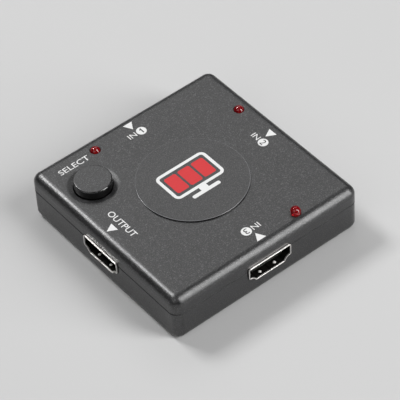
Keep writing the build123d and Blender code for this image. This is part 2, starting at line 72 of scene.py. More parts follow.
class Side(Enum):
    """The side of the case that a socket is on, as the turn of its outward direction from +X."""

    OUTPUT = 180.0
    INPUT_1 = 90.0
    INPUT_2 = 0.0
    INPUT_3 = -90.0

    @property
    def node(self) -> str:
        """Gives the word that starts the names of the socket's frame pieces."""
        return self.name.lower()


class Ink(Enum):
    """The inks that the markings are printed in."""

    WHITE = (0.72, 0.72, 0.717)
    RED = (0.555, 0.018, 0.023)
    BLACK = (0.02, 0.02, 0.021)


class Wire:
    """A shader socket that takes part in sums as a number does, each sum adding its Math node."""

    def __init__(self, sheet: "Sheet", socket: bpy.types.NodeSocket) -> None:
        """Holds an output socket of a sheet."""
        self.sheet = sheet
        self.socket = socket

    def math(self, operation: str, *terms: Feed) -> "Wire":
        """Adds one Math node.

        Args:
            operation: the node's operation.
            terms: its values or links, in order.

        Returns:
            The node's output.
        """
        return self.sheet.node("ShaderNodeMath", {"operation": operation}, dict(enumerate(terms)))

    def __add__(self, other: Feed) -> "Wire":
        """Adds."""
        return self.math("ADD", self, other)

    def __radd__(self, other: Feed) -> "Wire":
        """Adds to a number."""
        return self.math("ADD", other, self)

    def __sub__(self, other: Feed) -> "Wire":
        """Subtracts."""
        return self.math("SUBTRACT", self, other)

    def __rsub__(self, other: Feed) -> "Wire":
        """Subtracts from a number."""
        return self.math("SUBTRACT", other, self)

    def __mul__(self, other: Feed) -> "Wire":
        """Multiplies."""
        return self.math("MULTIPLY", self, other)

    def __rmul__(self, other: Feed) -> "Wire":
        """Multiplies a number."""
        return self.math("MULTIPLY", other, self)

    def __truediv__(self, other: Feed) -> "Wire":
        """Divides."""
        return self.math("DIVIDE", self, other)

    def __rtruediv__(self, other: Feed) -> "Wire":
        """Divides a number."""
        return self.math("DIVIDE", other, self)

    def __abs__(self) -> "Wire":
        """Takes the size without its sign."""
        return self.math("ABSOLUTE", self)

    def __lt__(self, other: Feed) -> "Wire":
        """Gives 1 where it is less."""
        return self.math("LESS_THAN", self, other)

    def __gt__(self, other: Feed) -> "Wire":
        """Gives 1 where it is more."""
        return self.math("GREATER_THAN", self, other)

    def larger(self, other: Feed) -> "Wire":
        """Gives the larger of the two."""
        return self.math("MAXIMUM", self, other)

    def smaller(self, other: Feed) -> "Wire":
        """Gives the smaller of the two."""
        return self.math("MINIMUM", self, other)

    def repeated(self, period: float) -> "Wire":
        """Gives where the value lies in its period, from 0 to 1."""
        return (self / period).math("FRACT", self / period)


class Sheet:
    """The nodes of a material or of the room's light, where one method adds a node of any kind."""

    def __init__(self, tree: bpy.types.NodeTree) -> None:
        """Takes a node tree and empties it."""
        self.tree = tree
        self.tree.nodes.clear()

    def node(
        self,
        kind: str,
        settings: dict[str, object] | None = None,
        sockets: dict[str | int, Feed] | None = None,
        out: str | int = 0,
    ) -> Wire:
        """Adds a node.

        Args:
            kind: the node's type.
            settings: its properties, which are set first.
            sockets: the value or link of each input, by name or number.
            out: the output that is wanted.

        Returns:
            That output.
        """
        made = self.tree.nodes.new(kind)
        for name, value in (settings or {}).items():
            setattr(made, name, value)
        for key, feed in (sockets or {}).items():
            target = made.inputs[key]
            if isinstance(feed, Wire):
                self.tree.links.new(feed.socket, target)
            elif target.type == "RGBA":
                target.default_value = (*feed[:3], 1.0)
            else:
                target.default_value = feed
        return Wire(self, made.outputs[out] if len(made.outputs) else None)

    def place(self) -> Wire:
        """Gives the place on the object, in metres from its origin."""
        return self.node("ShaderNodeTexCoord", out="Object")

    def axes(self) -> tuple[Wire, Wire, Wire]:
        """Gives the place's x, y and z as three numbers.

        Returns:
            The three outputs.
        """
        split = self.node("ShaderNodeSeparateXYZ", {}, {0: self.place()})
        outputs = split.socket.node.outputs
        return tuple(Wire(self, outputs[i]) for i in range(3))

    def noise(self, size: float, detail: float = 2.0, stretch: Colour = (1.0, 1.0, 1.0)) -> Wire:
        """Adds a cloudy pattern.

        Args:
            size: the width of its spots in millimetres.
            detail: how many finer layers it has.
            stretch: how much longer the spots are along x, y and z.

        Returns:
            The pattern, about 0.5 on average.
        """
        squeezed = self.node(
            "ShaderNodeMapping",
            {},
            {"Vector": self.place(), "Scale": tuple(1.0 / s for s in stretch)},
        )
        settings = {"Vector": squeezed, "Scale": 1.0 / (size * MM), "Detail": detail}
        return self.node("ShaderNodeTexNoise", {}, settings)

    def stretched(self, pattern: Wire, low: float, high: float) -> Wire:
        """Gives a pattern that is 0 at its low level, 1 at its high one and smooth between them."""
        ranges = {"Value": pattern, "From Min": low, "From Max": high}
        return self.node("ShaderNodeMapRange", {"interpolation_type": "SMOOTHSTEP"}, ranges)

    def mix(self, share: Feed, first: Feed, second: Feed) -> Wire:
        """Mixes two colours, the second by a share."""
        return self.node("ShaderNodeMix", {"data_type": "RGBA"}, {0: share, 6: first, 7: second}, 2)

    def bump(self, height: Wire, depth: float) -> Wire:
        """Gives the normal of a surface whose relief is a height from 0 to 1 times a depth in millimetres."""
        return self.node("ShaderNodeBump", {}, {"Height": height, "Distance": depth * MM})


@dataclass(frozen=True)
class Finish:
    """What a surface is made of, and how it was left.

    In the finishes, a pattern's size is in millimetres and one that ends in times follows another. Levels are
    where a pattern starts and stops rising. Shades are factors on the colour, and shares say how far it is
    mixed in. A swing spreads the roughness both ways, a dulling raises it, and a polish or a fall lowers it.
    """

    name: str
    colour: Colour

    def shader(self, sheet: Sheet) -> dict[str, Feed]:
        """Gives the values and links of the surface shader's sockets."""
        raise NotImplementedError

    def material(self) -> bpy.types.Material:
        """Gives the finish's material, which is made once.

        Returns:
            The material, with its nodes.
        """
        made = bpy.data.materials.get(self.name)
        if made is None:
            made = bpy.data.materials.new(self.name)
            made.use_nodes = True
            sheet = Sheet(made.node_tree)
            surface = sheet.node("ShaderNodeBsdfPrincipled", {}, self.shader(sheet))
            sheet.node("ShaderNodeOutputMaterial", {}, {"Surface": surface})
        return made

    def shade(self, factor: float) -> Colour:
        """Gives the colour, lighter or darker."""
        return tuple(min(1.0, c * factor) for c in self.colour)


@dataclass(frozen=True)
class TexturedPlastic(Finish):
    """Black moulded plastic with its mould's fine pitted texture.

    Bright flecks in its colour are painted glints. The covers have a smoother round field on top, whose
    polished rim has painted shade on its wall and a painted highlight on its edge, a duller dish round the
    button's hole, and a dull parting seam and sole.
    """

    grain: float = 0.32
    grain_depth: float = 0.05
    fine_share: float = 0.85
    coarse_times: float = 3.1
    patch_times: float = 40.0
    painted_glint_times: float = 0.9
    pit_levels: tuple[float, float] = (0.4, 0.66)
    pit_shades: tuple[float, float] = (0.4, 2.0)
    # The bright spots set here, with their size times above, are painted glints.
    painted_glint_levels: tuple[float, float] = (0.55, 0.72)
    painted_glint_shade: float = 7.0
    roughness: float = 0.335
    coarse_swing: float = 0.16
    patch_swing: float = 0.10
    refraction: float = 1.68
    smooth_radius: float = 0.0
    smooth_above: float = 0.0
    smooth_fall: float = 0.6
    rim_radius: float = 15.9
    rim_foot: float = 15.12
    rim_polish: float = 0.2
    rim_painted_shade: float = 0.1
    painted_highlight_above: float = 15.45
    edge_painted_highlight: float = 16.0
    seam_height: float = 9.62
    seam_half: float = 0.28
    seam_dulling: float = 0.5
    dish_place: tuple[float, float] = (-21.4, 16.7)
    dish_radius: float = 7.4
    dish_dulling: float = 0.12
    sole_height: float = 0.6
    sole_dulling: float = 0.4

    def shader(self, sheet: Sheet) -> dict[str, Feed]:
        """Mixes two sizes of grain into the relief, the shade and the roughness, and adds bright flecks to
        the colour as painted glints.

        Args:
            sheet: what the nodes are added to.

        Returns:
            The values and links of the surface shader's sockets.
        """
        fine = sheet.noise(self.grain)
        coarse = sheet.noise(self.grain * self.coarse_times, 1.0)
        patches = sheet.noise(self.grain * self.patch_times)
        relief = fine * self.fine_share + coarse * (1 - self.fine_share)
        rough = self.roughness + (coarse - 0.5) * self.coarse_swing + (patches - 0.5) * self.patch_swing
        speckle = sheet.stretched(fine, *self.pit_levels)
        # Sparse bright flecks in the colour are painted glints, standing in for the sparkle of the grain's
        # facets.
        painted_glints = sheet.stretched(sheet.noise(self.grain * self.painted_glint_times, 1.0), *self.painted_glint_levels)
        dull = sheet.mix(speckle, *(self.shade(factor) for factor in self.pit_shades))
        base = sheet.mix(painted_glints, dull, self.shade(self.painted_glint_shade))
        if self.smooth_radius:
            x, y, z = sheet.axes()
            spread = x * x + y * y
            inside = spread < (self.smooth_radius * MM) ** 2
            smooth = inside * (z > self.smooth_above * MM)
            seam = abs(z - self.seam_height * MM) < self.seam_half * MM
            dish_x, dish_y = (axis - place * MM for axis, place in zip((x, y), self.dish_place))
            dish = (dish_x * dish_x + dish_y * dish_y) < (self.dish_radius * MM) ** 2
            sole = z < self.sole_height * MM
            rim = (spread < (self.rim_radius * MM) ** 2) * (1 - inside) * (z > self.rim_foot * MM)
            edge = rim * (z > self.painted_highlight_above * MM)
            relief = relief * (1 - smooth * self.smooth_fall)
            rough = rough + seam * self.seam_dulling + dish * self.dish_dulling
            rough = rough + sole * self.sole_dulling - rim * self.rim_polish
            # The rim's wall is darkened as painted shade, and its upper edge is lightened as a painted
            # highlight.
            painted_shade_base = sheet.mix(rim, base, self.shade(self.rim_painted_shade))
            base = sheet.mix(edge, painted_shade_base, self.shade(self.edge_painted_highlight))
        return {
            "Base Color": base,
            "Roughness": rough,
            "Normal": sheet.bump(relief, self.grain_depth),
            "IOR": self.refraction,
        }


@dataclass(frozen=True)
class ButtonPlastic(TexturedPlastic):
    """The button's plastic: pitted on its face, polished round its rim, and smooth on its wall, which is
    darkened as painted shade.
    """

    wall_height: float = 17.1
    wall_painted_shade: float = 0.12
    wall_polish: float = 0.2
    rim_height: float = 17.47
    rim_polish: float = 0.19

    def shader(self, sheet: Sheet) -> dict[str, Feed]:
        """Darkens the wall as painted shade and smooths it and the rim, which are told apart by their
        heights.

        Args:
            sheet: what the nodes are added to.

        Returns:
            The values and links of the surface shader's sockets.
        """
        feeds = super().shader(sheet)
        z = sheet.axes()[2]
        wall = z < self.wall_height * MM
        rim = (z < self.rim_height * MM) * (1 - wall)
        # The wall's darker colour is painted shade.
        feeds["Base Color"] = sheet.mix(wall, feeds["Base Color"], self.shade(self.wall_painted_shade))
        feeds["Roughness"] = feeds["Roughness"] - rim * self.rim_polish - wall * self.wall_polish
        return feeds


@dataclass(frozen=True)
class PlatedSheet(Finish):
    """Nickel plated sheet, bright at its mouth, with its pressed dimples made a pale non-metal as a painted
    highlight, and a dark painted shade further in.
    """

    roughness: float = 0.30
    mark: float = 0.3
    mark_stretch: Colour = (6.0, 6.0, 1.0)
    mark_depth: float = 0.0008
    mark_dulling: float = 0.10
    stain: float = 1.8
    stain_levels: tuple[float, float] = (0.42, 0.72)
    stain_shade: float = 0.8
    stain_dulling: float = 0.10
    dull: Colour = (0.03, 0.029, 0.026)
    deep_dulling: float = 0.15
    painted_light_from: float = 32.1
    dimple_low: float = 5.53
    dimple_high: float = 5.9
    dimple_reach: float = 3.4
    painted_highlight_metal: float = 0.1

    def shader(self, sheet: Sheet) -> dict[str, Feed]:
        """Lays long marks and wide stains over a bright metal, and paints shade on it further in than the
        mouth.

        Args:
            sheet: what the nodes are added to.

        Returns:
            The values and links of the surface shader's sockets.
        """
        x, y, z = sheet.axes()
        inside = abs(x).larger(abs(y)) < self.painted_light_from * MM
        beside = abs(x).smaller(abs(y)) < self.dimple_reach * MM
        dimple = (z > self.dimple_low * MM) * (z < self.dimple_high * MM) * beside * inside
        deep = inside * (1 - dimple)
        marks = sheet.noise(self.mark, stretch=self.mark_stretch)
        stains = sheet.stretched(sheet.noise(self.stain, 3.0), *self.stain_levels)
        plate = sheet.mix(stains, self.colour, self.shade(self.stain_shade))
        worn = self.roughness + marks * self.mark_dulling + stains * self.stain_dulling
        return {
            # Further in than the mouth, the plate's colour gives way to a dark painted shade.
            "Base Color": sheet.mix(deep, plate, self.dull),
            # The dimples are made a pale non-metal, which is a painted highlight.
            "Metallic": 1 - dimple * (1 - self.painted_highlight_metal),
            "Roughness": worn + deep * self.deep_dulling,
            "Normal": sheet.bump(marks, self.mark_depth),
        }


@dataclass(frozen=True)
class DullMetal(Finish):
    """Tinned, zinced or gold plated metal with a soft mottled sheen."""

    roughness: float = 0.34
    spot: float = 0.25
    spot_swing: float = 0.25
    depth: float = 0.004
    tarnish_times: float = 6.0
    tarnish_levels: tuple[float, float] = (0.4, 0.75)
    tarnish_share: float = 0.6
    tarnish_shade: float = 0.6
    tarnish_dulling: float = 0.1

    def shader(self, sheet: Sheet) -> dict[str, Feed]:
        """Mottles the colour and the sheen by the same spots.

        Args:
            sheet: what the nodes are added to.

        Returns:
            The values and links of the surface shader's sockets.
        """
        spots = sheet.noise(self.spot, 3.0)
        tarnish = sheet.stretched(sheet.noise(self.spot * self.tarnish_times), *self.tarnish_levels)
        mottled = self.roughness + (spots - 0.5) * self.spot_swing
        darker = self.shade(self.tarnish_shade)
        return {
            "Base Color": sheet.mix(tarnish * self.tarnish_share, self.colour, darker),
            "Metallic": 1.0,
            "Roughness": mottled + tarnish * self.tarnish_dulling,
            "Normal": sheet.bump(spots, self.depth),
        }


@dataclass(frozen=True)
class SmoothMoulding(Finish):
    """Hard moulded resin with faint flow marks: insulators, switch bodies and chips."""

    roughness: float = 0.42
    grain: float = 0.12
    depth: float = 0.004
    sheen: float = 0.5
    flow: float = 2.2
    flow_stretch: Colour = (1.0, 1.0, 2.5)
    flow_shades: tuple[float, float] = (0.75, 1.3)
    flow_swing: float = 0.2

    def shader(self, sheet: Sheet) -> dict[str, Feed]:
        """Adds flow marks to the sheen and a fine grain to the relief.

        Args:
            sheet: what the nodes are added to.

        Returns:
            The values and links of the surface shader's sockets.
        """
        flow = sheet.noise(self.flow, 3.0, self.flow_stretch)
        grain = sheet.noise(self.grain)
        return {
            "Base Color": sheet.mix(flow, *(self.shade(factor) for factor in self.flow_shades)),
            "Roughness": self.roughness + (flow - 0.5) * self.flow_swing,
            "Normal": sheet.bump(grain, self.depth),
            "Specular IOR Level": self.sheen,
        }


@dataclass(frozen=True)
class LampResin(Finish):
    """Clear resin dyed a deep red, glossy, with a slight unevenness from its casting."""

    glow: Colour = (0.62, 0.012, 0.012)
    cloud: float = 1.1
    cloud_dulling: float = 0.04
    wave: float = 0.9
    wave_depth: float = 0.01
    roughness: float = 0.03
    clearness: float = 0.66
    refraction: float = 1.52
    coat: float = 0.2

    def shader(self, sheet: Sheet) -> dict[str, Feed]:
        """Lets the dye vary a little through the height, and waves the surface slightly.

        Args:
            sheet: what the nodes are added to.

        Returns:
            The values and links of the surface shader's sockets.
        """
        clouds = sheet.noise(self.cloud)
        waves = sheet.noise(self.wave, 0.0)
        return {
            "Base Color": sheet.mix(clouds, self.colour, self.glow),
            "Roughness": self.roughness + clouds * self.cloud_dulling,
            "Normal": sheet.bump(waves, self.wave_depth),
            "Transmission Weight": self.clearness,
            "IOR": self.refraction,
            "Coat Weight": self.coat,
            "Coat Roughness": self.roughness,
        }


@dataclass(frozen=True)
class PrintInk(Finish):
    """Pad printed ink: nearly even, with a slight mottle and the case's grain just showing through."""

    grain: float = 0.34
    grain_depth: float = 0.006
    grain_share: float = 0.16
    thin_levels: tuple[float, float] = (0.52, 0.8)
    thin_shade: float = 0.55
    mottle: float = 0.7
    mottle_share: float = 0.06
    mottle_dulling: float = 0.16
    roughness: float = 0.42

    def shader(self, sheet: Sheet) -> dict[str, Feed]:
        """Mottles the colour faintly and keeps a shallow grain.

        Args:
            sheet: what the nodes are added to.

        Returns:
            The values and links of the surface shader's sockets.
        """
        mottle = sheet.noise(self.mottle, 3.0)
        grain = sheet.noise(self.grain)
        thin = sheet.stretched(grain, *self.thin_levels)
        worn = thin * self.grain_share + mottle * self.mottle_share
        return {
            "Base Color": sheet.mix(worn, self.colour, self.shade(self.thin_shade)),
            "Roughness": self.roughness + mottle * self.mottle_dulling,
            "Normal": sheet.bump(grain, self.grain_depth),
        }


@dataclass(frozen=True)
class BoardLacquer(Finish):
    """Green lacquer over glass fibre board, lighter where copper tracks lie under it."""

    track: Colour = (0.02, 0.16, 0.06)
    pitch: float = 1.27
    track_share: float = 0.34
    relief_share: float = 0.8
    depth: float = 0.02
    field_size: float = 9.0
    field_levels: tuple[float, float] = (0.49, 0.51)
    weave: float = 0.3
    weave_dulling: float = 0.12
    roughness: float = 0.32
    coat: float = 0.35
    coat_roughness: float = 0.15

    def shader(self, sheet: Sheet) -> dict[str, Feed]:
        """Draws tracks one way in some fields and the other way in the rest.

        Args:
            sheet: what the nodes are added to.

        Returns:
            The values and links of the surface shader's sockets.
        """
        x, y, _ = sheet.axes()
        fields = sheet.stretched(sheet.noise(self.field_size, 0.0), *self.field_levels)
        lengthwise, crosswise = (axis.repeated(self.pitch * MM) < self.track_share for axis in (x, y))
        tracks = fields * lengthwise + (1 - fields) * crosswise
        weave = sheet.noise(self.weave)
        relief = tracks * self.relief_share + weave * (1 - self.relief_share)
        return {
            "Base Color": sheet.mix(tracks, self.colour, self.track),
            "Roughness": self.roughness + weave * self.weave_dulling,
            "Normal": sheet.bump(relief, self.depth),
            "Coat Weight": self.coat,
            "Coat Roughness": self.coat_roughness,
        }


@dataclass(frozen=True)
class EndedChip(Finish):
    """A row part's dark body between bright metal ends, told apart by how far out they lie."""

    ends: Colour = (0.72, 0.72, 0.7)
    distance: float = 17.3
    half_body: float = 0.5
    end_metal: float = 0.95
    end_polish: float = 0.18
    roughness: float = 0.5
    grain: float = 0.1
    grain_depth: float = 0.004
    grain_swing: float = 0.12

    def shader(self, sheet: Sheet) -> dict[str, Feed]:
        """Gives metal to what lies further than half a body from the row's middle line.

        Args:
            sheet: what the nodes are added to.

        Returns:
            The values and links of the surface shader's sockets.
        """
        x, y, _ = sheet.axes()
        out = abs(x).larger(abs(y))
        metal = abs(out - self.distance * MM) > self.half_body * MM
        grain = sheet.noise(self.grain)
        return {
            "Base Color": sheet.mix(metal, self.colour, self.ends),
            "Metallic": metal * self.end_metal,
            "Roughness": self.roughness - metal * self.end_polish + (grain - 0.5) * self.grain_swing,
            "Normal": sheet.bump(grain, self.grain_depth),
        }


@dataclass(frozen=True)
class FloorPaper(Finish):
    """Matt pale paper with a hardly visible tooth."""

    wide: float = 60.0
    wide_share: float = 0.5
    tooth: float = 0.6
    tooth_share: float = 0.3
    tooth_depth: float = 0.006
    tooth_swing: float = 0.1
    low_shade: float = 0.97
    roughness: float = 0.72
    sheen: float = 0.3

    def shader(self, sheet: Sheet) -> dict[str, Feed]:
        """Varies the paper by about a hundredth over a few centimetres.

        Args:
            sheet: what the nodes are added to.

        Returns:
            The values and links of the surface shader's sockets.
        """
        wide = sheet.noise(self.wide)
        tooth = sheet.noise(self.tooth)
        cloudy = wide * self.wide_share + tooth * self.tooth_share
        return {
            "Base Color": sheet.mix(cloudy, self.colour, self.shade(self.low_shade)),
            "Roughness": self.roughness + (tooth - 0.5) * self.tooth_swing,
            "Normal": sheet.bump(tooth, self.tooth_depth),
            "Specular IOR Level": self.sheen,
        }


CASE_PLASTIC = TexturedPlastic("pitted_case", (0.011, 0.011, 0.0115), smooth_radius=15.66, smooth_above=15.3)
BUTTON_PLASTIC = ButtonPlastic("pitted_button", (0.011, 0.011, 0.0115), grain_depth=0.018)
SHELL_PLATE = PlatedSheet("shell_plate", (0.90, 0.88, 0.85))
CONTACT_GOLD = DullMetal("contact_gold", (0.92, 0.66, 0.30), roughness=0.28)
INSULATOR = SmoothMoulding("insulator", (0.006, 0.006, 0.005), sheen=0.2)
SWITCH_BODY = SmoothMoulding("switch_body", (0.016, 0.016, 0.017), roughness=0.5)
PLUNGER = SmoothMoulding("plunger", (0.42, 0.41, 0.38), roughness=0.4)
CHIP_RESIN = SmoothMoulding("chip_moulding", (0.02, 0.02, 0.021), roughness=0.55, depth=0.008)
BOARD_GREEN = BoardLacquer("board_green", (0.008, 0.085, 0.035))
RESISTOR = EndedChip("resistor", (0.02, 0.02, 0.022), distance=17.3)
CAPACITOR = EndedChip("capacitor", (0.34, 0.22, 0.12), distance=8.1)
TINNED = DullMetal("tinned", (0.74, 0.74, 0.72))
DOME_STEEL = DullMetal("dome_steel", (0.66, 0.65, 0.62), roughness=0.25)
SCREW_STEEL = DullMetal("screw_zinc", (0.36, 0.36, 0.37), roughness=0.36, spot=0.4)
LAMP_RED = LampResin("lamp_red", (0.36, 0.003, 0.014))
FLOOR_PAPER = FloorPaper("floor_paper", (0.54, 0.54, 0.54))
INKS = {ink: PrintInk(f"{ink.name.lower()}_ink", ink.value) for ink in Ink}


@dataclass
class Solid:
    """Points in millimetres and the faces between them."""

    points: np.ndarray
    faces: list[list[int]]

    def moved(self, x: float = 0.0, y: float = 0.0, z: float = 0.0) -> "Solid":
        """Gives the solid moved."""
        return Solid(self.points + np.array([x, y, z]), self.faces)

    def turned(self, angle: float) -> "Solid":
        """Gives the solid turned about +Z by an angle in degrees: each point times the turn's matrix."""
        c, s = math.cos(math.radians(angle)), math.sin(math.radians(angle))
        return Solid(self.points @ np.array([[c, s, 0], [-s, c, 0], [0, 0, 1]]), self.faces)

    def mesh(self, name: str, smooth: bool = False) -> bpy.types.Mesh:
        """Makes a mesh in metres.

        Args:
            name: the mesh's name.
            smooth: whether its faces are shaded as one curved surface.

        Returns:
            The mesh.
        """
        mesh = bpy.data.meshes.new(name)
        mesh.from_pydata((self.points * MM).tolist(), [], self.faces)
        mesh.polygons.foreach_set("use_smooth", [smooth] * len(mesh.polygons))
        mesh.update()
        return mesh


def together(solids: list[Solid]) -> Solid:
    """Gives several solids as one, each one's faces counted on from the points before it.

    Args:
        solids: the solids, in order.

    Returns:
        One solid of them all.
    """
    starts = np.cumsum([0] + [len(solid.points) for solid in solids])
    faces = [[i + start for i in face] for solid, start in zip(solids, starts) for face in solid.faces]
    return Solid(np.vstack([solid.points for solid in solids]), faces)


def grid_faces(rows: int, columns: int, closed_rows: bool = False) -> np.ndarray:
    """Gives the four corners of each cell of a grid that closes round its columns.

    Args:
        rows: how many rings of points there are.
        columns: how many points each ring has.
        closed_rows: whether the last ring joins the first.

    Returns:
        One row of four point numbers a cell.
    """
    row = np.arange(rows if closed_rows else rows - 1)[:, None] * columns
    column = np.arange(columns)[None, :]
    after = (row + columns) % (rows * columns)
    beside = (column + 1) % columns
    corners = (row + column, row + beside, after + beside, after + column)
    cells = [np.broadcast_to(corner, (row.shape[0], columns)) for corner in corners]
    return np.stack(cells, axis=-1).reshape(-1, 4)


def at_height(outline: np.ndarray, height: float) -> np.ndarray:
    """Gives a flat outline's points at a height."""
    return np.column_stack([outline, np.full(len(outline), height)])


def slab(outline: np.ndarray, low: float, high: float) -> Solid:
    """Gives a flat solid: the outline at two heights, a wall of quads between and a flat face on each.

    Args:
        outline: the points of its edge, anticlockwise.
        low: the height of its underside.
        high: the height of its face.

    Returns:
        The solid.
    """
    count = len(outline)
    points = np.vstack([at_height(outline, low), at_height(outline, high)])
    ends = [list(range(count))[::-1], list(range(count, 2 * count))]
    return Solid(points, grid_faces(2, count).tolist() + ends)


def frame_slab(outer: np.ndarray, inner: np.ndarray, low: float, high: float) -> Solid:
    """Gives a flat frame: a four-cornered profile carried round two outlines with as many points."""
    rings = [at_height(outer, low), at_height(outer, high), at_height(inner, high), at_height(inner, low)]
    return Solid(np.vstack(rings), grid_faces(4, len(outer), closed_rows=True).tolist())


def revolved(profile: np.ndarray, count: int = 28) -> Solid:
    """Gives a round solid whose profile starts and ends on the axis.

    A point lies at the profile's radius times the cosine and sine of an angle that runs once round, at the
    profile's height. The two ends are single points, each closed by a fan.

    Args:
        profile: radius and height, from the lowest point out and up to the highest.
        count: how many points go round.

    Returns:
        The solid about the Z axis.
    """
    angle = np.linspace(0, 2 * np.pi, count, endpoint=False)
    radius, height = profile[1:-1, :1], profile[1:-1, 1:]
    rings = np.stack(
        [radius * np.cos(angle), radius * np.sin(angle), height + 0 * angle], axis=-1
    ).reshape(-1, 3)
    poles = np.array([[0, 0, profile[0, 1]], [0, 0, profile[-1, 1]]])
    here = np.arange(count)
    beside = (here + 1) % count
    last = len(rings) - count
    low_fan = np.column_stack([np.full(count, len(rings)), beside, here])
    high_fan = np.column_stack([np.full(count, len(rings) + 1), here + last, beside + last])
    faces = grid_faces(len(rings) // count, count).tolist() + low_fan.tolist() + high_fan.tolist()
    return Solid(np.vstack([rings, poles]), faces)


def circle(radius: float, count: int = 56) -> np.ndarray:
    """Gives a circle: the radius times the cosine and sine of an angle that runs once round."""
    angle = np.linspace(0, 2 * np.pi, count, endpoint=False)
    return radius * np.column_stack([np.cos(angle), np.sin(angle)])


def rounded_rectangle(width: float, height: float, radius: float, steps: int = 7) -> np.ndarray:
    """Gives a rectangle with round corners.

    Each corner is its centre plus the radius times the cosine and sine of an angle over its quarter.

    Args:
        width: its size along x.
        height: its size along y.
        radius: the corners' radius.
        steps: how many points a corner has.

    Returns:
        The points, anticlockwise.
    """
    angle = np.linspace(0, np.pi / 2, steps)[None, :] + np.arange(4)[:, None] * np.pi / 2
    signs = np.array([[1, 1], [-1, 1], [-1, -1], [1, -1]])
    centres = signs * np.array([width / 2 - radius, height / 2 - radius])
    arcs = radius * np.stack([np.cos(angle), np.sin(angle)], axis=-1)
    return (centres[:, None, :] + arcs).reshape(-1, 2)


def triangle(base: float, depth: float) -> np.ndarray:
    """Gives a triangle with its base on the x axis and its apex at minus the depth on y."""
    return np.array([[-base / 2, 0.0], [0.0, -depth], [base / 2, 0.0]])


def figure_one(width: float, height: float) -> np.ndarray:
    """Gives the figure one: a stem with a slanting flag, as shares of its width and height."""
    shares = [(0.5, 0), (1, 0), (1, 1), (0.62, 1), (0, 0.74), (0, 0.58), (0.5, 0.74)]
    return (np.array(shares) - 0.5) * np.array([width, height])


def lettering(
    text: str, width: float, height: float, low: float, high: float, weight: float = 0.005
) -> Solid:
    """Gives plain letters as a flat solid, fitted to a box centred on the origin.

    Each point is its share of the letters' own box, times the size wanted.

    Args:
        text: the letters.
        width: the size of the whole word along x.
        height: the letters' height along y.
        low: the height of their underside.
        high: the height of their face.
        weight: how much their strokes are thickened, as a share of the type's size.

    Returns:
        The letters.
    """
    curve = bpy.data.curves.new("letters", "FONT")
    curve.body = text
    curve.extrude = 0.5
    curve.resolution_u = LETTER_STEPS
    curve.offset = weight
    holder = bpy.data.objects.new("letters", curve)
    mesh = holder.to_mesh()
    work = bmesh.new()
    work.from_mesh(mesh)
    bmesh.ops.remove_doubles(work, verts=work.verts, dist=WELD_GAP)
    holder.to_mesh_clear()
    bpy.data.objects.remove(holder)
    bpy.data.curves.remove(curve)
    welded = bpy.data.meshes.new("letters")
    work.to_mesh(welded)
    work.free()
    points = np.empty(len(welded.vertices) * 3)
    welded.vertices.foreach_get("co", points)
    points = points.reshape(-1, 3)
    faces = [list(face.vertices) for face in welded.polygons]
    bpy.data.meshes.remove(welded)
    lowest, highest = points.min(0), points.max(0)
    share = (points - lowest) / (highest - lowest)
    size = np.array([width, height, high - low])
    return Solid(share * size + np.array([-width / 2, -height / 2, low]), faces)


@dataclass
class Assembly:
    """A part of the box that finishes its frame pieces and adds its own pieces to one body."""

    body: str = "case"

    def dress(self, node: str, finish: Finish) -> None:
        """Gives a frame piece its finish.

        Args:
            node: the frame piece's name.
            finish: the finish for all its material slots.
        """
        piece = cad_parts[node]
        for slot in piece.material_slots:
            slot.material = finish.material()
        LOG.info("dressed %s in %s", node, finish.name)

    def add(
        self, name: str, solid: Solid, finish: Finish, slot: str = "", smooth: bool = False
    ) -> bpy.types.Object:
        """Adds a piece of its own.

        Args:
            name: the piece's name.
            solid: its shape.
            finish: its finish.
            slot: the record's material slot, if it has one; it is not used.
            smooth: whether its faces are shaded as one curved surface.

        Returns:
            The piece.
        """
        mesh = solid.mesh(name, smooth)
        mesh.materials.append(finish.material())
        piece = bpy.data.objects.new(name, mesh)
        bpy.context.scene.collection.objects.link(piece)
        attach(piece, self.body)
        LOG.info("added %s: %d faces on %s", name, len(mesh.polygons), self.body)
        return piece


@dataclass
class Covers(Assembly):
    """The two moulded covers and the four screws that hold them."""

    def build(self) -> None:
        """Finishes the covers and the screws."""
        self.dress("top_cover", CASE_PLASTIC)
        self.dress("bottom_cover", CASE_PLASTIC)
        self.dress("case_screws", SCREW_STEEL)


@dataclass
class SelectControl(Assembly):
    """The round button and the push switch under it, each given its finish."""

    dome_gauge: float = 0.08
    dome_steps: int = 12
    dome_columns: int = 40
    dome_travel: float = 0.3

    def cap(self, sphere: float, drop: float) -> np.ndarray:
        """Gives the profile of a round cap.

        A point lies at the sphere's radius times the sine of an angle from the axis, at the radius times the
        cosine of that angle less the drop.

        Args:
            sphere: the radius of the sphere that it is cut from.
            drop: how far the sphere's centre lies under the cap's rim.

        Returns:
            One row of radius and height a point, from the top to the rim.
        """
        angle = np.linspace(0, math.acos(drop / sphere), self.dome_steps)
        return np.column_stack([sphere * np.sin(angle), sphere * np.cos(angle) - drop])

    def snap_dome(self) -> None:
        """Puts a snap dome in the place of the frame's own, and hides the frame's own."""
        low, high = (np.array(corner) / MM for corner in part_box("switch_dome"))
        radius, height = (high[0] - low[0]) / 2, high[2] - low[2]
        sphere = (radius**2 + height**2) / (2 * height)
        drop = sphere - height
        inner, outer = self.cap(sphere - self.dome_gauge, drop), self.cap(sphere, drop)
        foot = np.array([*(low + high)[:2] / 2, low[2]])
        dome = revolved(np.vstack([inner, outer[::-1]]), self.dome_columns).moved(*foot)
        piece = self.add("snap_dome", dome, DOME_STEEL, "tinned_steel", smooth=True)
        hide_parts("switch_dome")
        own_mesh(piece)

    def build(self) -> None:
        """Finishes the button and the switch's pieces."""
        self.dress("select_button", BUTTON_PLASTIC)
        self.dress("switch_base", SWITCH_BODY)
        self.dress("switch_cover", TINNED)
        self.dress("switch_plunger", PLUNGER)
        self.dress("switch_terminals", TINNED)
        self.snap_dome()


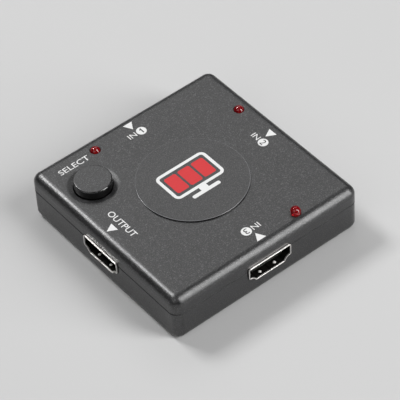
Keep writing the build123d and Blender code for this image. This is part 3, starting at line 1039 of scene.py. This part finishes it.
@dataclass
class VideoSocket(Assembly):
    """One socket: its folded shell, insulator and contacts."""

    side: Side = Side.OUTPUT

    def build(self) -> None:
        """Finishes the socket's three pieces."""
        self.dress(f"{self.side.node}_port_shell", SHELL_PLATE)
        self.dress(f"{self.side.node}_port_insulator", INSULATOR)
        self.dress(f"{self.side.node}_port_contacts", CONTACT_GOLD)


@dataclass
class Lamp(Assembly):
    """One red lamp: its lens and leads, and the lead frame with its cup inside the lens."""

    number: int = 1
    frame_gauge: float = 0.42
    anvil: Outline = (
        (-1.366, 0.15),
        (-1.03, 0.15),
        (-0.78, 0.9),
        (0.25, 1.2),
        (0.42, 2.6),
        (-0.62, 2.6),
        (-1.0, 1.3),
    )
    post: Outline = ((1.03, 0.15), (1.366, 0.15), (1.12, 1.4), (1.02, 2.9), (0.72, 2.9), (0.7, 1.4))
    cup_radius: float = 0.62
    cup_place: float = -0.12
    cup_columns: int = 20
    cup_shares: Outline = (
        (0, 2.35),
        (0.7, 2.35),
        (1, 2.65),
        (1, 2.92),
        (0.86, 2.92),
        (0.45, 2.664),
        (0, 2.664),
    )

    def upright(self, outline: Outline) -> Solid:
        """Gives a front view as an upright sheet: the outline's y becomes the height.

        Args:
            outline: the front view, anticlockwise, from a lead's foot up to its top.

        Returns:
            The sheet, with its face towards -Y, at heights over the lens's foot.
        """
        flat = slab(np.array(outline), -self.frame_gauge / 2, self.frame_gauge / 2)
        turned = flat.points[:, [0, 2, 1]] * np.array([1, -1, 1])
        return Solid(turned, flat.faces)

    def cup(self) -> Solid:
        """Gives the cup: a short round with a hollow cone in its top.

        A point's radius is its share of the cup's radius, at its height over the lens's foot.

        Returns:
            The cup, over the anvil.
        """
        profile = np.array(self.cup_shares) * np.array([self.cup_radius, 1.0])
        return revolved(profile, self.cup_columns).moved(x=self.cup_place)

    def build(self) -> None:
        """Finishes the lens and the leads, and puts the lead frame in the lens."""
        self.dress(f"led_{self.number}_lens", LAMP_RED)
        self.dress(f"led_{self.number}_leads", TINNED)
        low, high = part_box(f"led_{self.number}_lens")
        centre = (low + high) / (2 * MM)
        parts = [self.upright(self.anvil), self.upright(self.post), self.cup()]
        lead_frame = together(parts).moved(centre.x, centre.y, low.z / MM)
        self.add(f"led_{self.number}_lead_frame", lead_frame, TINNED, "tinned_steel")


@dataclass
class Board(Assembly):
    """The circuit board, what is soldered on it, and the solder under it."""

    underside: float = 3.55
    joint_height: float = 0.7
    joint_radius: float = 0.85
    joint_bow: float = 0.9
    joint_steps: int = 7
    joint_columns: int = 20
    mouth: float = 32.5
    leg_depths: tuple[float, float] = (5.0, 9.5)
    leg_offset: float = 7.175
    lead_radius: float = 0.3
    terminal_inset: float = 0.15
    terminal_reach: float = 0.35

    def joint_places(self) -> np.ndarray:
        """Gives the middle of each soldered hole: the sockets' legs, the lamps' leads and the terminals.

        Returns:
            One row of x and y a hole.
        """
        places = []
        for side in Side:
            turn = math.radians(side.value)
            out = np.array([math.cos(turn), math.sin(turn)])
            across = np.array([-out[1], out[0]])
            for depth in self.leg_depths:
                for offset in (-self.leg_offset, self.leg_offset):
                    places.append(out * (self.mouth - depth) + across * offset)
        for number in (1, 2, 3):
            low, high = (np.array(corner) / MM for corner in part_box(f"led_{number}_leads"))
            middle = (low[1] + high[1]) / 2
            inset = (high[1] - low[1]) / 2
            places += [np.array([low[0] + inset, middle]), np.array([high[0] - inset, middle])]
        low, high = (np.array(corner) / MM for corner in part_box("switch_terminals"))
        inset, reach = self.terminal_inset, self.terminal_reach
        columns = (low[0] + inset, high[0] - inset)
        rows = (low[1] + reach, high[1] - reach)
        places += [np.array([x, y]) for x in columns for y in rows]
        return np.array(places)

    def joint(self) -> Solid:
        """Gives one joint, whose radius falls from the pad to the lead in a hollow quarter curve.

        Returns:
            The joint, hanging from the board's underside on the Z axis.
        """
        t = np.linspace(0, 1, self.joint_steps)
        radius = self.lead_radius + (self.joint_radius - self.lead_radius) * (1 - np.sin(t * np.pi / 2))
        height = -self.joint_height * (1 - np.cos(t * np.pi / 2)) ** self.joint_bow
        curve = np.column_stack([radius, self.underside + height])[::-1]
        tip = np.array([[0, curve[0, 1]]])
        foot = np.array([[0, self.underside]])
        return revolved(np.vstack([tip, curve, foot]), self.joint_columns)

    def build(self) -> None:
        """Finishes the board and its parts, and adds the solder."""
        self.dress("circuit_board", BOARD_GREEN)
        self.dress("switch_chip", CHIP_RESIN)
        self.dress("switch_chip_leads", TINNED)
        self.dress("control_chip", CHIP_RESIN)
        self.dress("control_chip_leads", TINNED)
        self.dress("voltage_regulator", CHIP_RESIN)
        self.dress("voltage_regulator_leads", TINNED)
        self.dress("chip_resistors", RESISTOR)
        self.dress("chip_capacitors", CAPACITOR)
        joint = self.joint()
        joints = together([joint.moved(x, y) for x, y in self.joint_places()])
        self.add("solder_joints", joints, TINNED, "tinned_steel", smooth=True)


@dataclass
class Print(Assembly):
    """Ink on the case's top, at a height just over the surface that it is printed on."""

    surface: float = 15.1
    sink: float = 0.01
    film: float = 0.02

    def levels(self, layer: int = 1) -> tuple[float, float]:
        """Gives the underside and the face of a layer of ink."""
        return self.surface - self.sink, self.surface + self.film * layer

    def print_piece(self, name: str, solid: Solid, ink: Ink) -> None:
        """Adds a printed piece in an ink."""
        self.add(name, solid, INKS[ink])


@dataclass
class InputLegend(Print):
    """An input's legend: a triangle that points in from the edge, its word and its number in a disc."""

    side: Side = Side.INPUT_1
    number: int = 1
    along: float = 0.0
    inward: float = 0.0
    triangle_base: float = 3.05
    triangle_depth: float = 2.75
    triangle_edge: float = 29.2
    disc_radius: float = 1.5
    disc_place: tuple[float, float] = (1.36, 24.45)
    number_size: tuple[float, float] = (1.25, 2.0)
    one_size: tuple[float, float] = (0.72, 1.9)
    word_size: tuple[float, float] = (2.5, 1.78)
    word_place: tuple[float, float] = (-1.8, 24.52)

    def seat(self, solid: Solid, x: float, y: float) -> Solid:
        """Gives a solid at a place of the block, turned to the block's side of the case."""
        return solid.moved(x + self.along, y - self.inward).turned(self.side.value - Side.INPUT_1.value)

    def build(self) -> None:
        """Prints the triangle, the word, the disc and the number on it."""
        low, high = self.levels()
        name = self.side.node
        mark = slab(triangle(self.triangle_base, self.triangle_depth), low, high)
        self.print_piece(f"{name}_triangle", self.seat(mark, 0.0, self.triangle_edge), Ink.WHITE)
        word = lettering("IN", *self.word_size, low, high, 0.0)
        self.print_piece(f"{name}_word", self.seat(word, *self.word_place), Ink.WHITE)
        disc = slab(circle(self.disc_radius), low, high)
        self.print_piece(f"{name}_disc", self.seat(disc, *self.disc_place), Ink.WHITE)
        under, face = high - self.sink, self.levels(2)[1]
        if self.number == 1:
            digit = slab(figure_one(*self.one_size), under, face)
        else:
            digit = lettering(str(self.number), *self.number_size, under, face, 0.0)
        self.print_piece(f"{name}_number", self.seat(digit, *self.disc_place), Ink.BLACK)


@dataclass
class EdgeLegends(Print):
    """The output's word and triangle, and the button's word."""

    output_word: tuple[float, float] = (11.4, 2.0)
    output_place: tuple[float, float] = (-24.45, -0.2)
    output_triangle: tuple[float, float] = (2.95, 2.7)
    output_triangle_place: tuple[float, float] = (-26.6, 0.35)
    output_turn: float = -90.0
    select_word: tuple[float, float] = (10.0, 1.95)
    select_place: tuple[float, float] = (-20.9, 26.15)

    def build(self) -> None:
        """Prints the three marks."""
        low, high = self.levels()
        word = lettering("OUTPUT", *self.output_word, low, high).turned(self.output_turn)
        self.print_piece("output_word", word.moved(*self.output_place), Ink.WHITE)
        mark = slab(triangle(*self.output_triangle), low, high).turned(self.output_turn)
        self.print_piece("output_triangle", mark.moved(*self.output_triangle_place), Ink.WHITE)
        select = lettering("SELECT", *self.select_word, low, high)
        self.print_piece("select_word", select.moved(*self.select_place), Ink.WHITE)


@dataclass
class PadPicture(Print):
    """The picture on the round pad: a screen on its foot, with a red window in it for each input."""

    surface: float = 15.55
    screen_size: tuple[float, float] = (17.0, 10.6)
    screen_line: float = 0.95
    screen_corner: float = 1.7
    screen_place: tuple[float, float] = (0.3, 1.5)
    window_size: tuple[float, float] = (4.0, 6.7)
    window_corner: float = 0.6
    window_pitch: float = 4.7
    neck_size: tuple[float, float] = (2.6, 1.3)
    neck_corner: float = 0.1
    foot_size: tuple[float, float] = (9.4, 1.2)
    foot_corner: float = 0.5

    def screen(self) -> Solid:
        """Gives the screen's frame, with its neck and foot in a row under it.

        Returns:
            The three shapes as one solid.
        """
        low, high = self.levels()
        (width, height), line, corner = self.screen_size, self.screen_line, self.screen_corner
        outer = rounded_rectangle(width, height, corner)
        inner = rounded_rectangle(width - 2 * line, height - 2 * line, corner - line)
        neck = slab(rounded_rectangle(*self.neck_size, self.neck_corner), low, high)
        foot = slab(rounded_rectangle(*self.foot_size, self.foot_corner), low, high)
        neck_level = -(height + self.neck_size[1]) / 2
        foot_level = neck_level - (self.neck_size[1] + self.foot_size[1]) / 2
        parts = [frame_slab(outer, inner, low, high), neck.moved(y=neck_level), foot.moved(y=foot_level)]
        return together(parts).moved(*self.screen_place)

    def windows(self) -> Solid:
        """Gives the row of three windows.

        Returns:
            The windows as one solid.
        """
        low, high = self.levels()
        window = slab(rounded_rectangle(*self.window_size, self.window_corner), low, high)
        row = together([window.moved(place * self.window_pitch) for place in (-1, 0, 1)])
        return row.moved(*self.screen_place)

    def build(self) -> None:
        """Prints the picture."""
        self.print_piece("pad_screen", self.screen(), Ink.WHITE)
        self.print_piece("pad_windows", self.windows(), Ink.RED)


@dataclass(frozen=True)
class SoftLamp:
    """A soft studio lamp that faces the box: where it stands, its size, and how bright its face is."""

    name: str
    azimuth: float
    elevation: float
    distance: float
    width: float
    height: float
    brightness: float

    def build(self) -> None:
        """Puts the lamp in place. Its power is its brightness times pi times its area."""
        data = bpy.data.lights.new(self.name, "AREA")
        data.shape = "RECTANGLE"
        data.size = self.width
        data.size_y = self.height
        data.energy = self.brightness * math.pi * self.width * self.height
        lamp = bpy.data.objects.new(self.name, data)
        back = direction(self.azimuth, self.elevation)
        lamp.location = back * self.distance
        lamp.rotation_mode = "QUATERNION"
        lamp.rotation_quaternion = (-back).to_track_quat("-Z", "Y")
        lamp.visible_camera = False
        bpy.context.scene.collection.objects.link(lamp)


def direction(azimuth: float, elevation: float) -> Vector:
    """Gives the direction from the box to a place round it: azimuth 0 is towards -Y, and 90 towards +X."""
    a, e = math.radians(azimuth), math.radians(elevation)
    return Vector((math.sin(a) * math.cos(e), -math.cos(a) * math.cos(e), math.sin(e)))


@dataclass
class Studio:
    """The floor, the lamps, the room's light and the camera, in metres, with the aim in millimetres."""

    floor_radius: float = 3.0
    floor_rings: int = 32
    floor_columns: int = 96
    floor_drop: float = 0.00002
    room_light: float = 0.14
    room_tone: float = 0.16
    horizon_share: float = 0.05
    dark_heights: tuple[float, float] = (0.5, 0.9)
    camera_azimuth: float = -36.227
    camera_elevation: float = 46.094
    camera_roll: float = -3.944
    camera_distance: float = 0.62936
    camera_lens: float = 206.03
    camera_sensor: float = 36.0
    camera_aim: Colour = (1.334, -0.918, 7.0)
    lamps: tuple[SoftLamp, ...] = field(
        default_factory=lambda: (
            SoftLamp("key_lamp", -166.0, 50.0, 1.0, 0.30, 0.27, brightness=23.5),
            SoftLamp("strip_lamp", 32.0, 33.5, 1.0, 0.40, 1.04, brightness=8.3),
            SoftLamp("back_lamp", 143.0, 44.0, 1.3, 1.1, 0.60, brightness=1.33),
            SoftLamp("fill_lamp", -72.0, 42.0, 1.3, 1.1, 0.90, brightness=0.9),
        )
    )

    def floor(self) -> None:
        """Lays a round floor.

        A ring's radius is the floor's radius times the cube of the ring's share, so that the rings are close
        together near the box.
        """
        rows, columns = self.floor_rings, self.floor_columns
        radius = self.floor_radius * np.linspace(0, 1, rows + 1)[1:, None] ** 3
        angle = np.linspace(0, 2 * np.pi, columns, endpoint=False)
        rings = np.stack([radius * np.cos(angle), radius * np.sin(angle), 0 * radius * angle], axis=-1)
        points = np.vstack([rings.reshape(-1, 3), [[0, 0, 0]]]) - np.array([0, 0, self.floor_drop])
        here = np.arange(columns)
        fan = np.column_stack([np.full(columns, rows * columns), here, (here + 1) % columns])
        cells = grid_faces(rows, columns)[:, ::-1]
        mesh = bpy.data.meshes.new("floor")
        mesh.from_pydata(points.tolist(), [], cells.tolist() + fan.tolist())
        mesh.materials.append(FLOOR_PAPER.material())
        floor = bpy.data.objects.new("floor", mesh)
        bpy.context.scene.collection.objects.link(floor)

    def room(self) -> None:
        """Fills the room with a soft light that is dark near the horizon and full overhead.

        The light's share is the horizon's own, plus the rest times a smooth step over the direction's height.
        Its tone is a little higher where it is seen or mirrored.
        """
        world = bpy.data.worlds.new("room")
        bpy.context.scene.world = world
        world.use_nodes = True
        sheet = Sheet(world.node_tree)
        rays = ("Is Camera Ray", "Is Glossy Ray", "Is Transmission Ray")
        seen, mirrored, through = (sheet.node("ShaderNodeLightPath", out=ray) for ray in rays)
        clear = seen.larger(mirrored).larger(through)
        way = sheet.node("ShaderNodeTexCoord", out="Generated")
        height = sheet.node("ShaderNodeSeparateXYZ", {}, {0: way}, "Z")
        overhead = sheet.stretched(height, *self.dark_heights)
        share = self.horizon_share + overhead * (1 - self.horizon_share)
        strength = (self.room_light + clear * (self.room_tone - self.room_light)) * share
        light = sheet.node("ShaderNodeBackground", {}, {"Color": (1.0, 1.0, 1.0), "Strength": strength})
        sheet.node("ShaderNodeOutputWorld", {}, {"Surface": light})

    def camera(self) -> None:
        """Stands the camera on its line through the aim, and rolls it."""
        data = bpy.data.cameras.new("camera")
        data.lens = self.camera_lens
        data.sensor_width = self.camera_sensor
        camera = bpy.data.objects.new("camera", data)
        back = direction(self.camera_azimuth, self.camera_elevation)
        camera.location = Vector(self.camera_aim) * MM + back * self.camera_distance
        level = (-back).to_track_quat("-Z", "Y")
        camera.rotation_mode = "QUATERNION"
        camera.rotation_quaternion = level @ Quaternion((0, 0, 1), math.radians(self.camera_roll))
        bpy.context.scene.collection.objects.link(camera)
        bpy.context.scene.camera = camera

    def build(self) -> None:
        """Sets up the studio."""
        self.floor()
        for lamp in self.lamps:
            lamp.build()
        self.room()
        self.camera()
        bpy.context.scene.view_settings.view_transform = "Standard"
        LOG.info("studio ready with %d lamps", len(self.lamps))


def main() -> None:
    """Builds every part of the box and the studio round it."""
    logging.basicConfig(level=logging.INFO, format="%(name)s: %(message)s")
    Covers().build()
    SelectControl().build()
    for side in Side:
        VideoSocket(side=side).build()
    for number in (1, 2, 3):
        Lamp(number=number).build()
    Board().build()
    InputLegend(side=Side.INPUT_1, number=1).build()
    InputLegend(side=Side.INPUT_2, number=2, along=0.35, inward=0.8).build()
    InputLegend(side=Side.INPUT_3, number=3).build()
    EdgeLegends().build()
    PadPicture().build()
    Studio().build()


if __name__ == "__main__":
    main()
